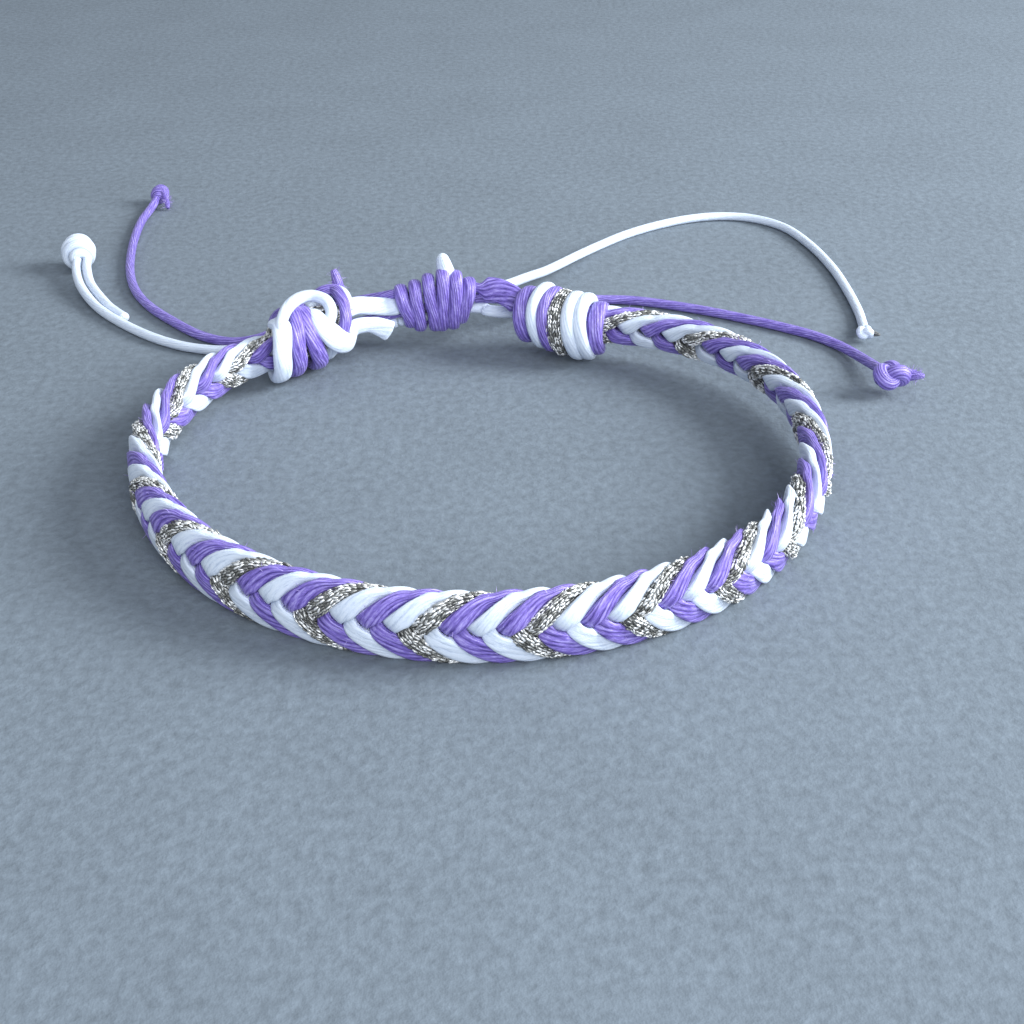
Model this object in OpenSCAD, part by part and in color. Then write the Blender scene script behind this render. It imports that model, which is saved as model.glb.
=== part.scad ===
// A braided anklet: eight strands in a flat fishtail braid, closed by two end knots and a sliding knot.
// The loop stands on its lower edge, with its front towards -Y. The origin is under the middle of its box.

/* [Loop] */
// Radius of the loop along the middle of the braid
loop_r = 36; // [34:0.5:38]
// Azimuth from the front, in degrees, where the braid leaves the right end knot
braid_start = 150; // [146:1:152]
// Azimuth where the braid reaches the left end knot
braid_end = -128; // [-130:1:-124]
// How far the right end of the braid is drawn in towards the closure
right_tuck = 4.5; // [3:0.5:5]
// How far the left end of the braid is drawn in
left_tuck = 2.5; // [1.5:0.5:3.5]

/* [Braid] */
// Distance along the braid from one crossing to the next
step = 1.22; // [1.22:0.02:1.34]
// Height of a strand's swing above and below the middle of the braid
swing = 2.95; // [2.85:0.05:3]
// Depth of a strand's swing from the middle to either face
depth = 1.3; // [1.25:0.01:1.35]
// Width of a flattened strand
strand_w = 1.14; // [1.04:0.02:1.14]
// Thickness of a flattened strand
strand_t = 0.76; // [0.66:0.02:0.76]

/* [Closure] */
// Outer radius of each end knot
knot_r = 4.8; // [4.6:0.1:5]
// Diameter of the pull cords and tails
cord_d = 1.25; // [1.1:0.05:1.3]
// Number of turns in the sliding knot
slider_turns = 6; // [5:1:6]
// Radius of the cord wound as the sliding knot
slider_cord_r = 0.72; // [0.65:0.01:0.75]

/* [Hidden] */

purple = "#7a63c9";
white = "#eef3f8";
silver = "#8f9290";

// The braid: strand number n crosses the top edge two steps after strand number n - 1.
strands = 8;
cycle = 2 * strands;
first_crossing = 6;
interleave = 11.5;
ring_steps = 1.25;
strand_sides = 6;
braid_z = swing + strand_w / 2 + 0.02;
braid_l = loop_r * (braid_start - braid_end) * PI / 180;
braid_mid = (braid_start + braid_end) / 2;
tuck_span = 44;

// Towards its ends the braid is looser and slimmer, and its middle hangs higher, between the two knots.
// Each row: length along the braid, how far the crossings there are ahead of even steps, share of the
// full height, rise of the middle, and lean of the top towards the inside of the loop, in degrees.
BRAID_FORM = [
    [-4, 16, 0.62, 1.1, 18], [1, 14.7, 0.66, 1.1, 24], [13, 12, 0.74, 1.1, 28], [25, 9.8, 0.76, 1.05, 28],
    [38, 6.2, 0.84, 0.7, 16], [50, 1.8, 0.94, 0.3, 4], [60, 0.3, 1, 0, 0], [braid_l - 34, 0, 1, 0, 0],
    [braid_l - 30, -1, 0.97, 0.05, 0], [braid_l - 25.5, -2.5, 0.92, 0.1, 2],
    [braid_l - 20.5, -4.1, 0.88, 0.15, 4], [braid_l - 16.4, -5.5, 0.84, 0.2, 7],
    [braid_l - 12.9, -6.8, 0.79, 0.25, 10], [braid_l - 9.7, -7.6, 0.75, 0.3, 10],
    [braid_l - 5.7, -8.4, 0.67, 0.4, 10], [braid_l + 4, -11.5, 0.5, 0.4, 10]
];

// Turns of the end knots lie side by side along the knot, each 0.1 mm clear of the next.
turn_r = 0.76;
turn_gap = 0.1;
turn_pitch = 2 * turn_r + turn_gap;
turn_count = 7;
knot_l = turn_count * turn_pitch;
bundle_r = knot_r - 2 * turn_r - turn_gap;
knot_gap = 0.5;

function unit(v) = v / norm(v);

// The loop is a circle whose two ends are drawn in.
function tuck(a) =
    let (past = abs(a - braid_mid) - (braid_start - braid_mid - tuck_span))
    past <= 0 ? 0 : (a > braid_mid ? right_tuck : left_tuck) * pow(past / tuck_span, 2);
function loop_xy(a) = (loop_r - tuck(a)) * [sin(a), -cos(a)];
function loop_way(a) = unit(loop_xy(a - 0.5) - loop_xy(a + 0.5));
function azimuth(s) = braid_start - s / loop_r * 180 / PI;

// A column of the braid's form at a length along it, averaged over 6 mm.
function form_at(s, column) =
    let (table = [for (row = BRAID_FORM) [row[0], row[column]]], near = [-3, -1.5, 0, 1.5, 3])
    [for (d = near) lookup(s + d, table)] * [for (d = near) 1] / len(near);

// Every strand follows one figure of eight in the section of the braid.
function strand_turn(n, s) =
    let (t = 360 * ((s + form_at(s, 1)) / step - 2 * n - first_crossing) / cycle)
    t + interleave * sin(t);
function strand_point(n, s) =
    let (
        t = strand_turn(n, s),
        a = azimuth(s),
        way = loop_way(a),
        w = depth * sin(2 * t),
        h = swing * form_at(s, 2) * cos(t),
        lean = form_at(s, 4)
    )
    concat(
        loop_xy(a) + (w * cos(lean) - h * sin(lean)) * [-way.y, way.x],
        braid_z + form_at(s, 3) + w * sin(lean) + h * cos(lean)
    );
function strand_ring(n, s) =
    let (
        p = strand_point(n, s),
        way = unit(strand_point(n, s + 0.3) - strand_point(n, s - 0.3)),
        lean = form_at(s, 4),
        ahead = loop_way(azimuth(s)),
        flat = unit(cross([ahead.y * sin(lean), -ahead.x * sin(lean), cos(lean)], way)),
        side = cross(way, flat),
        wide = strand_w * form_at(s, 2)
    )
    [for (k = [0 : strand_sides - 1])
        let (q = 360 * k / strand_sides)
        p + side * cos(q) * wide / 2 + flat * sin(q) * strand_t / 2];

// A closed skin over rings of points, from one flat end to the other.
function skin_faces(rings, sides) = concat(
    [[for (k = [0 : sides - 1]) k]],
    [for (r = [0 : rings - 2], k = [0 : sides - 1])
        let (a = r * sides + k, b = r * sides + (k + 1) % sides)
        each [[a, b + sides, b], [a, a + sides, b + sides]]],
    [[for (k = [sides - 1 : -1 : 0]) (rings - 1) * sides + k]]
);
module skin(rings) {
    sides = len(rings[0]);
    polyhedron(points = [for (ring = rings) each ring], faces = skin_faces(len(rings), sides));
}
module strand(n, tint) {
    count = round(braid_l / (step * ring_steps));
    color(tint) skin([for (k = [0 : count]) strand_ring(n, k * braid_l / count)]);
}

// A round cord along a route of points.
cord_sides = 8;
function route_way(route, k) =
    unit(route[min(k + 1, len(route) - 1)] - route[max(k - 1, 0)]);
function cord_ring(route, k, r) =
    let (
        way = route_way(route, k),
        across = unit(cross([0, 0, 1], way)),
        up = cross(way, across)
    )
    [for (j = [0 : cord_sides - 1])
        let (q = 360 * (j + 0.5) / cord_sides)
        route[k] + (across * cos(q) + up * sin(q)) * r];
module cord(route, tint, d = cord_d) {
    color(tint) skin([for (k = [0 : len(route) - 1]) cord_ring(route, k, d / 2)]);
}

// End knots: a round bundle of the strands with turns of single strands round it.
right_way = -loop_way(braid_start);
left_way = loop_way(braid_end);
right_knot = concat(loop_xy(braid_start) + right_way * (knot_gap + knot_l / 2), knot_r);
left_knot = concat(loop_xy(braid_end) + left_way * (knot_gap + knot_l / 2), knot_r);
module at_right_knot() {
    translate(right_knot) rotate([0, 0, atan2(right_way.y, right_way.x)]) children();
}
module at_left_knot() {
    translate(left_knot) rotate([0, 0, atan2(left_way.y, left_way.x)]) children();
}
module knot_bundle(tint) {
    color(tint) rotate([0, 90, 0]) cylinder(h = knot_l, r = bundle_r, center = true, $fn = 48);
}
// Places are counted from the braid, 0 to turn_count - 1.
module knot_turns(places, tint) {
    color(tint)
        for (place = places)
            translate([(place - (turn_count - 1) / 2) * turn_pitch, 0, 0])
                rotate([0, 90, 0])
                    rotate_extrude($fn = 48)
                        translate([knot_r - turn_r, 0]) circle(r = turn_r, $fn = 24);
}

// Sliding knot: oval turns round four pull cords that lie one above the other. Its right end is the higher one.
slider = [-6.4, 32, 5.95];
slider_turn = 6;
slider_rise = 9;
level = cord_d + 0.06;
slider_pitch = 2 * slider_cord_r + turn_gap;
oval_r = cord_d / 2 + 0.08 + slider_cord_r;
oval_h = 3 * level;
module oval_turn() {
    for (end = [0, 180])
        rotate([0, 0, end])
            translate([0, oval_h / 2, 0])
                rotate_extrude(angle = 180, $fn = 48)
                    translate([oval_r, 0]) circle(r = slider_cord_r, $fn = 24);
    for (side = [-1, 1])
        translate([side * oval_r, 0, 0])
            rotate([90, 0, 0]) cylinder(h = oval_h, r = slider_cord_r, center = true, $fn = 24);
}
module sliding_knot() {
    color(purple)
        translate(slider) rotate([0, -slider_rise, slider_turn])
            for (k = [0 : slider_turns - 1])
                translate([(k - (slider_turns - 1) / 2) * slider_pitch, 0, 0])
                    rotate([90, 0, 90]) oval_turn();
}
module sliding_knot_white_end() {
    foot = slider.z + oval_h / 2 + oval_r + slider_cord_r + 0.25;
    stub_h = 2.2;
    color(white)
        translate([slider.x + 0.8, slider.y + 0.1, foot])
            union() {
                cylinder(h = stub_h, d = cord_d, $fn = 24);
                translate([0, 0, stub_h]) sphere(r = cord_d * 0.6, $fn = 24);
            }
}

// The loop is moved back so that the origin is under the middle of its box, the sliding knot included.
loop_front = loop_r + depth + strand_t * sin(60) / 2;
slider_back = slider.y + (slider_turns - 1) / 2 * slider_pitch * sin(slider_turn)
    + (oval_r + slider_cord_r) * cos(slider_turn);
loop_y = (loop_front - slider_back) / 2;
module on_loop() {
    translate([0, loop_y, 0]) children();
}

// The four pull cords pass through the sliding knot one above the other, 1 at the top.
function in_slider(x, place) =
    slider + [0, 0, (2.5 - place) * level] + (x - slider.x) * [1, tan(slider_turn), tan(slider_rise)];
slider_left = -11.25;
slider_right = -1.55;
join_gap = 0.05;

// Pull cords run from an end knot to the far end of the sliding knot.
LEFT_WHITE_PULL = [
    [-17.2, 28.6, 5.7], [-16.2, 29.1, 5.7], [-14.6, 29.9, 5.65], [-12.8, 30.8, 5.7],
    in_slider(slider_left, 2), in_slider(slider_right, 2)
];
LEFT_PURPLE_PULL = [
    [-17.2, 28.6, 4.2], [-16.2, 29.2, 4.2], [-14.6, 30.1, 4.2], [-12.8, 30.9, 4.3],
    in_slider(slider_left, 3), in_slider(slider_right, 3)
];
RIGHT_PURPLE_PULL = [
    [3.8, 29.4, 6.0], [2.9, 29.9, 6.5], [1.7, 30.9, 7.5], [0.2, 32.0, 8.6],
    in_slider(slider_right, 1), in_slider(slider_left, 1)
];
RIGHT_WHITE_PULL = [
    [3.8, 29.4, 3.9], [2.9, 29.9, 3.95], [1.7, 30.9, 4.2], [0.2, 32.1, 4.6],
    in_slider(slider_right, 4), in_slider(slider_left, 4)
];

// Tails run from the sliding knot to their own small knots, down to the surface and along it.
tail_z = 0.66;
RIGHT_WHITE_TAIL = [
    in_slider(slider_right + join_gap, 2), in_slider(-1.1, 2), [0.1, 33.1, 7.3], [1.5, 34.3, 6.95],
    [3.0, 36.3, 6.5], [4.4, 39.6, 5.7], [6.0, 44.0, 4.5], [7.8, 49.0, 3.1], [10.0, 54.5, 1.9],
    [12.8, 60.0, 1.1], [16.2, 65.0, 0.7], [20.4, 69.6, tail_z], [25.2, 73.4, tail_z],
    [30.6, 76.4, tail_z], [36.0, 77.6, tail_z], [40.8, 76.4, tail_z], [44.8, 72.4, tail_z],
    [47.4, 65.2, tail_z], [49.0, 56.6, tail_z], [49.6, 48.4, tail_z], [49.7, 41.4, tail_z],
    [49.4, 37.0, 0.8], [48.95, 33.5, 1.25]
];
RIGHT_PURPLE_TAIL = [
    in_slider(slider_right + join_gap, 3), in_slider(-1.1, 3), [0.2, 32.8, 6.0], [1.7, 33.9, 5.4],
    [3.6, 35.8, 4.6], [5.9, 38.8, 3.3], [8.6, 41.7, 2.0], [11.8, 43.8, 1.1], [15.4, 44.8, 0.7],
    [19.6, 44.6, tail_z], [24.2, 43.2, tail_z], [29.0, 41.2, tail_z], [33.8, 38.7, tail_z],
    [38.3, 36.0, tail_z], [42.0, 33.4, tail_z], [44.7, 30.4, 0.7], [46.4, 27.1, 0.9], [47.5, 23.4, 1.4],
    [48.3, 19.6, 2.1]
];
LEFT_PURPLE_TAIL = [
    in_slider(slider_left - join_gap, 1), in_slider(-11.9, 1), [-13.0, 31.8, 6.65], [-14.7, 32.4, 6.1],
    [-17.0, 33.0, 5.4], [-19.8, 33.8, 4.4], [-22.8, 33.9, 3.1], [-26.0, 32.8, 1.9], [-29.2, 31.4, 1.0],
    [-32.8, 31.0, 0.7], [-37.2, 33.3, tail_z], [-41.8, 38.0, tail_z], [-45.4, 42.4, tail_z],
    [-48.2, 47.2, tail_z], [-50.2, 52.6, tail_z], [-51.7, 59.0, tail_z], [-52.9, 67.0, tail_z],
    [-53.5, 75.0, tail_z], [-53.1, 80.3, 0.9], [-52.6, 83.9, 1.5]
];
LEFT_WHITE_TAIL = [
    in_slider(slider_left - join_gap, 4), in_slider(-11.9, 4), [-13.0, 31.4, 2.95], [-14.8, 31.8, 2.7],
    [-17.0, 32.3, 2.4], [-19.4, 32.4, 2.0], [-22.0, 31.9, 1.5], [-25.0, 30.8, 1.0], [-28.2, 29.5, 0.7],
    [-31.6, 28.7, tail_z], [-35.0, 28.7, tail_z], [-39.0, 30.0, tail_z], [-43.4, 32.8, tail_z],
    [-48.2, 37.2, tail_z], [-52.4, 42.0, 0.8], [-55.8, 47.5, 1.3], [-57.6, 52.2, 1.9],
    [-58.2, 55.8, 2.4]
];
// The end of the left white tail is folded back beside itself.
LEFT_WHITE_FOLD = [
    [-48.0, 38.85, tail_z], [-49.6, 40.7, 0.7], [-51.4, 43.0, 0.85], [-54.6, 48.25, 1.35],
    [-56.25, 52.75, 1.95], [-56.85, 56.0, 2.4]
];

// Cut ends of strands that stand out of the left end knot.
LEFT_KNOT_PURPLE_END = [
    [-16.7, 29.4, 7.2], [-16.9, 29.8, 8.0], [-17.8, 30.1, 9.1], [-19.2, 30.2, 10.2]
];
LEFT_KNOT_WHITE_END = [
    [-15.1, 27.0, 3.0], [-14.1, 27.2, 2.9], [-12.8, 26.8, 2.8], [-11.5, 26.1, 2.8]
];

// A tail knot: two round turns on a short core, along the way the tail ends.
module tail_knot(route, tint, r, turn, gap = 0.06) {
    last = len(route) - 1;
    way = route_way(route, last);
    core_l = 3.2 * turn;
    color(tint)
        translate(route[last] + way * gap)
            rotate([0, acos(way.z), atan2(way.y, way.x)])
                union() {
                    cylinder(h = core_l, r = r - turn, $fn = 32);
                    for (k = [0, 1])
                        translate([0, 0, turn + k * 1.2 * turn])
                            rotate_extrude($fn = 32)
                                translate([r - turn, 0]) circle(r = turn, $fn = 24);
                }
}

on_loop() strand(0, silver);  // silver_strand_1
on_loop() strand(4, silver);  // silver_strand_2
on_loop() strand(1, purple);  // purple_strand_1
on_loop() strand(3, purple);  // purple_strand_2
on_loop() strand(6, purple);  // purple_strand_3
on_loop() strand(2, white);  // white_strand_1
on_loop() strand(5, white);  // white_strand_2
on_loop() strand(7, white);  // white_strand_3
on_loop() at_right_knot() knot_bundle(purple);  // right_knot_bundle
on_loop() at_right_knot() knot_turns([0, 4, 6], purple);  // right_knot_purple_turns
on_loop() at_right_knot() knot_turns([1, 2, 5], white);  // right_knot_white_turns
on_loop() at_right_knot() knot_turns([3], silver);  // right_knot_silver_turn
on_loop() at_left_knot() knot_bundle(silver);  // left_knot_bundle
on_loop() at_left_knot() knot_turns([1, 2, 3, 6], purple);  // left_knot_purple_turns
on_loop() at_left_knot() knot_turns([0, 4, 5], white);  // left_knot_white_turns
on_loop() cord(LEFT_KNOT_PURPLE_END, purple);  // left_knot_purple_end
on_loop() cord(LEFT_KNOT_WHITE_END, white);  // left_knot_white_end
on_loop() sliding_knot();
on_loop() sliding_knot_white_end();
on_loop() cord(LEFT_WHITE_PULL, white);  // left_white_pull_cord
on_loop() cord(LEFT_PURPLE_PULL, purple);  // left_purple_pull_cord
on_loop() cord(RIGHT_WHITE_PULL, white);  // right_white_pull_cord
on_loop() cord(RIGHT_PURPLE_PULL, purple);  // right_purple_pull_cord
on_loop() cord(RIGHT_WHITE_TAIL, white);  // right_white_tail
on_loop() cord(RIGHT_PURPLE_TAIL, purple);  // right_purple_tail
on_loop() cord(LEFT_WHITE_TAIL, white);  // left_white_tail
on_loop() cord(LEFT_PURPLE_TAIL, purple);  // left_purple_tail
on_loop() cord(LEFT_WHITE_FOLD, white);  // left_white_tail_fold
on_loop() tail_knot(RIGHT_WHITE_TAIL, white, 1.25, 0.6);  // right_white_tail_knot
on_loop() tail_knot(RIGHT_PURPLE_TAIL, purple, 2.1, 1);  // right_purple_tail_knot
on_loop() tail_knot(LEFT_WHITE_TAIL, white, 2.5, 1.15);  // left_white_tail_knot
on_loop() tail_knot(LEFT_PURPLE_TAIL, purple, 1.5, 0.7);  // left_purple_tail_knot
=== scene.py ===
import math

import bpy
import numpy as np
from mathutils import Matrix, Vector


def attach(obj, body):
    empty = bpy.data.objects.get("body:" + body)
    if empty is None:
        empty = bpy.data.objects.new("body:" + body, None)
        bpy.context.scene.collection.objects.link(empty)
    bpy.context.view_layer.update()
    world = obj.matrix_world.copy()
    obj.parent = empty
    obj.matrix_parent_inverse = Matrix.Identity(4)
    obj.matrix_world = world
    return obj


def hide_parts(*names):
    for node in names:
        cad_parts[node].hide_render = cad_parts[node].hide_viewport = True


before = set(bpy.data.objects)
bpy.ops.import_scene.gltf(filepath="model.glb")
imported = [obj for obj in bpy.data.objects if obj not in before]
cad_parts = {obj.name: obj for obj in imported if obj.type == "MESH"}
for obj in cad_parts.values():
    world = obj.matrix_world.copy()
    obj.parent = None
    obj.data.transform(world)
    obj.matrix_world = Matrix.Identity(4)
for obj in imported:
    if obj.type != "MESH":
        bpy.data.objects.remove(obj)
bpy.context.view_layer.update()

# Driving sizes, in millimetres and degrees, are those of the solids. Azimuths count from the loop's front.
MM = 0.001
LOOP_R = 36.0
LOOP_Y = 1.55
BRAID_START = 150.0
BRAID_END = -128.0
RIGHT_TUCK = 4.5
LEFT_TUCK = 2.5
TUCK_SPAN = 44.0
STEP = 1.22
SWING = 2.95
DEPTH = 1.3
STRANDS = 8
CYCLE = 2 * STRANDS
FIRST_CROSSING = 6.0
INTERLEAVE = 11.5
BRAID_Z = 3.54
BRAID_L = LOOP_R * math.radians(BRAID_START - BRAID_END)
BRAID_MIDDLE = (BRAID_START + BRAID_END) / 2
KNOT_R = 4.8
CORD_D = 1.25
SLIDER = (-6.4, 32.0, 5.95)
SLIDER_TURN = 6.0
SLIDER_RISE = 9.0
SLIDER_LEFT = -11.25
SLIDER_RIGHT = -1.55
LEVEL = CORD_D + 0.06
JOIN_GAP = 0.05
TAIL_Z = 0.66

# Least height of cords and of loose fibres over the floor
CORD_CLEARANCE = 0.05
FIBRE_CLEARANCE = 0.1


def unit(vectors):
    """The same vectors, one long."""
    return vectors / np.linalg.norm(vectors, axis=-1, keepdims=True)


def smooth(values):
    """A soft step from 0 to 1."""
    inside = np.clip(values, 0, 1)
    return inside * inside * (3 - 2 * inside)


def above_floor(points, clearance=CORD_CLEARANCE):
    """Points in mm, with those that lie too low lifted to a clearance over the floor."""
    points[..., 2] = np.maximum(points[..., 2], clearance)
    return points


def at_loop(points):
    """Points in the loop's own frame, moved to where the loop stands."""
    return points + np.array([0, LOOP_Y, 0])


# Routes of the cords, as the solids have them
def in_slider(x, place):
    """A point of one of the four pull cords in the sliding knot, counted from the top."""
    past = x - SLIDER[0]
    return (
        x, SLIDER[1] + past * math.tan(math.radians(SLIDER_TURN)),
        SLIDER[2] + (2.5 - place) * LEVEL + past * math.tan(math.radians(SLIDER_RISE)),
    )


RIGHT_WHITE_TAIL = [
    in_slider(SLIDER_RIGHT + JOIN_GAP, 2), in_slider(-1.1, 2), (0.1, 33.1, 7.3), (1.5, 34.3, 6.95),
    (3.0, 36.3, 6.5), (4.4, 39.6, 5.7), (6.0, 44.0, 4.5), (7.8, 49.0, 3.1), (10.0, 54.5, 1.9),
    (12.8, 60.0, 1.1), (16.2, 65.0, 0.7), (20.4, 69.6, TAIL_Z), (25.2, 73.4, TAIL_Z),
    (30.6, 76.4, TAIL_Z), (36.0, 77.6, TAIL_Z), (40.8, 76.4, TAIL_Z), (44.8, 72.4, TAIL_Z),
    (47.4, 65.2, TAIL_Z), (49.0, 56.6, TAIL_Z), (49.6, 48.4, TAIL_Z), (49.7, 41.4, TAIL_Z),
    (49.4, 37.0, 0.8), (48.95, 33.5, 1.25),
]
RIGHT_PURPLE_TAIL = [
    in_slider(SLIDER_RIGHT + JOIN_GAP, 3), in_slider(-1.1, 3), (0.2, 32.8, 6.0), (1.7, 33.9, 5.4),
    (3.6, 35.8, 4.6), (5.9, 38.8, 3.3), (8.6, 41.7, 2.0), (11.8, 43.8, 1.1), (15.4, 44.8, 0.7),
    (19.6, 44.6, TAIL_Z), (24.2, 43.2, TAIL_Z), (29.0, 41.2, TAIL_Z), (33.8, 38.7, TAIL_Z),
    (38.3, 36.0, TAIL_Z), (42.0, 33.4, TAIL_Z), (44.7, 30.4, 0.7), (46.4, 27.1, 0.9), (47.5, 23.4, 1.4),
    (48.3, 19.6, 2.1),
]
LEFT_PURPLE_TAIL = [
    in_slider(SLIDER_LEFT - JOIN_GAP, 1), in_slider(-11.9, 1), (-13.0, 31.8, 6.65), (-14.7, 32.4, 6.1),
    (-17.0, 33.0, 5.4), (-19.8, 33.8, 4.4), (-22.8, 33.9, 3.1), (-26.0, 32.8, 1.9), (-29.2, 31.4, 1.0),
    (-32.8, 31.0, 0.7), (-37.2, 33.3, TAIL_Z), (-41.8, 38.0, TAIL_Z), (-45.4, 42.4, TAIL_Z),
    (-48.2, 47.2, TAIL_Z), (-50.2, 52.6, TAIL_Z), (-51.7, 59.0, TAIL_Z), (-52.9, 67.0, TAIL_Z),
    (-53.5, 75.0, TAIL_Z), (-53.1, 80.3, 0.9), (-52.6, 83.9, 1.5),
]
LEFT_WHITE_TAIL = [
    in_slider(SLIDER_LEFT - JOIN_GAP, 4), in_slider(-11.9, 4), (-13.0, 31.4, 2.95), (-14.8, 31.8, 2.7),
    (-17.0, 32.3, 2.4), (-19.4, 32.4, 2.0), (-22.0, 31.9, 1.5), (-25.0, 30.8, 1.0), (-28.2, 29.5, 0.7),
    (-31.6, 28.7, TAIL_Z), (-35.0, 28.7, TAIL_Z), (-39.0, 30.0, TAIL_Z), (-43.4, 32.8, TAIL_Z),
    (-48.2, 37.2, TAIL_Z), (-52.4, 42.0, 0.8), (-55.8, 47.5, 1.3), (-57.6, 52.2, 1.9), (-58.2, 55.8, 2.4),
]
LEFT_WHITE_FOLD = [
    (-48.0, 38.85, TAIL_Z), (-49.6, 40.7, 0.7), (-51.4, 43.0, 0.85), (-54.6, 48.25, 1.35),
    (-56.25, 52.75, 1.95), (-56.85, 56.0, 2.4),
]


def smooth_route(points, gap=0.4):
    """A smooth line through the points of a route, with a point about every gap, in mm."""
    points = np.array(points, float)
    padded = np.vstack([2 * points[0] - points[1], points, 2 * points[-1] - points[-2]])
    line = []
    for before, here, there, after in zip(padded, padded[1:], padded[2:], padded[3:]):
        count = max(2, round(np.linalg.norm(there - here) / gap))
        for t in np.arange(count) / count:
            line.append(
                0.5 * (2 * here + (there - before) * t
                       + (2 * before - 5 * here + 4 * there - after) * t ** 2
                       + (3 * here - before - 3 * there + after) * t ** 3)
            )
    return np.array(line + [points[-1]])


def lengths_along(line):
    """Length from the start of a line to each of its points."""
    return np.concatenate([[0], np.cumsum(np.linalg.norm(np.diff(line, axis=0), axis=1))])


def ways_along(line):
    """The way the line runs at each of its points."""
    return unit(np.gradient(line, axis=0))


# Materials
class Wire:
    """A socket of a material's tree. Sums and products of wires add Math nodes."""

    def __init__(self, tree, socket):
        self.tree = tree
        self.socket = socket

    def math(self, operation, *values):
        return add_node(self.tree, "ShaderNodeMath", {"operation": operation}, dict(enumerate(values)))

    def __add__(self, other):
        return self.math("ADD", self, other)

    def __sub__(self, other):
        return self.math("SUBTRACT", self, other)

    def __mul__(self, other):
        return self.math("MULTIPLY", self, other)

    def __pow__(self, other):
        return self.math("POWER", self, other)


def add_node(tree, kind, settings, inputs, output=0):
    """Adds a node. Settings come first, then each socket gets its value or its link."""
    made = tree.nodes.new(kind)
    for name, value in settings.items():
        if name == "stops":
            ramp = made.color_ramp
            while len(ramp.elements) < len(value):
                ramp.elements.new(0.5)
            for element, (place, colour) in zip(ramp.elements, value):
                element.position = place
                element.color = (*colour, 1)
        else:
            setattr(made, name, value)
    for name, value in inputs.items():
        if isinstance(value, Wire):
            tree.links.new(value.socket, made.inputs[name])
        else:
            made.inputs[name].default_value = value
    return Wire(tree, made.outputs[output] if made.outputs else None)


def new_finish(name):
    """An empty material and its tree."""
    finish = bpy.data.materials.new(name)
    finish.use_nodes = True
    finish.node_tree.nodes.clear()
    return finish, finish.node_tree


def object_place(tree):
    """The place of each point in its object, in metres."""
    return add_node(tree, "ShaderNodeTexCoord", {}, {}, 3)


def noise(tree, place, scale, detail, roughness=0.5):
    """A noise texture at a place, between 0 and 1."""
    return add_node(tree, "ShaderNodeTexNoise", {}, {
        "Vector": place, "Scale": scale, "Detail": detail, "Roughness": roughness,
    })


def tinted(tree, tone, stops):
    """The colour of a tone between stops, which are a tone and its colour each."""
    return add_node(tree, "ShaderNodeValToRGB", {"stops": stops}, {0: tone})


def bumped(tree, strength, distance, height):
    """A normal that follows a height."""
    return add_node(tree, "ShaderNodeBump", {}, {
        "Strength": strength, "Distance": distance, "Height": height,
    })


def add_surface(tree, inputs):
    """Ends a material's tree with one shader."""
    shade = add_node(tree, "ShaderNodeBsdfPrincipled", {}, inputs)
    add_node(tree, "ShaderNodeOutputMaterial", {}, {"Surface": shade})


def cord_place(tree, twist, stretch):
    """Round and along a cord: its angle, twisted by radians a mm, and a seamless 3-D place."""
    uv = add_node(tree, "ShaderNodeUVMap", {"uv_map": "cord"}, {})
    around = add_node(tree, "ShaderNodeSeparateXYZ", {}, {0: uv}, 0)
    along = add_node(tree, "ShaderNodeSeparateXYZ", {}, {0: uv}, 1)
    angle = around * (2 * math.pi) + along * twist
    place = add_node(tree, "ShaderNodeCombineXYZ", {}, {
        0: angle.math("COSINE", angle), 1: angle.math("SINE", angle), 2: along * stretch,
    })
    return angle, place


def cord_finish(name, deep, body, light, roughness, plies, groove_depth_and_shade):
    """Waxed cord: fine fibres along it, gathered in plies. The lines between the plies are painted darker as
    shade in their grooves, and pale streaks along the fibres are painted highlights.
    """
    finish, tree = new_finish(name)
    angle, place = cord_place(tree, twist=0.22, stretch=0.16)
    drift = noise(tree, place, scale=1.2, detail=1.0)
    fibre = noise(tree, place, scale=14.0, detail=4.0, roughness=0.65)
    # Pale streaks along the fibres: painted highlights, which also give a little bump
    highlight_streak = noise(tree, place, scale=4.2, detail=2.0)
    wave = angle * plies + drift * 14.0
    ply = (wave.math("SINE", wave) * 0.5 + 0.5) ** 0.45
    # The tone paints shade into the grooves between plies and highlights along the streaks; its top stop is
    # the painted highlight colour
    tone = ply * groove_depth_and_shade + fibre * 0.75 + highlight_streak * 0.8 - (0.28 + groove_depth_and_shade)
    height = ply * (groove_depth_and_shade * 1.6) + fibre * 0.7 + highlight_streak * 0.3
    add_surface(tree, {
        "Base Color": tinted(tree, tone, [(0.1, deep), (0.42, body), (0.76, light)]),
        "Roughness": roughness,
        "Normal": bumped(tree, 0.6, 0.00012, height),
        "Sheen Weight": 0.2,
        "Sheen Roughness": 0.4,
        "Sheen Tint": (*light, 1),
    })
    return finish


def thread_finish():
    """Metallic thread: each stitch has its own random tone, from dark grey to near white. The near-white
    stitches are painted glints, standing in for the sparkle of the metal film.
    """
    finish, tree = new_finish("silver_thread_stitches")
    tone = add_node(tree, "ShaderNodeAttribute", {"attribute_name": "tone"}, {}, 2)
    tone_patches = noise(tree, object_place(tree), scale=2500.0, detail=2.0)
    # The near-white end of this ramp is painted glints
    colour = tinted(tree, tone * 0.8 + tone_patches * 0.25, [
        (0.1, (0.09, 0.09, 0.085)), (0.38, (0.33, 0.33, 0.315)),
        (0.6, (0.80, 0.80, 0.79)), (0.85, (0.98, 0.98, 0.98)),
    ])
    add_surface(tree, {"Base Color": colour, "Metallic": 0.45, "Roughness": 0.32})
    return finish


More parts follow.
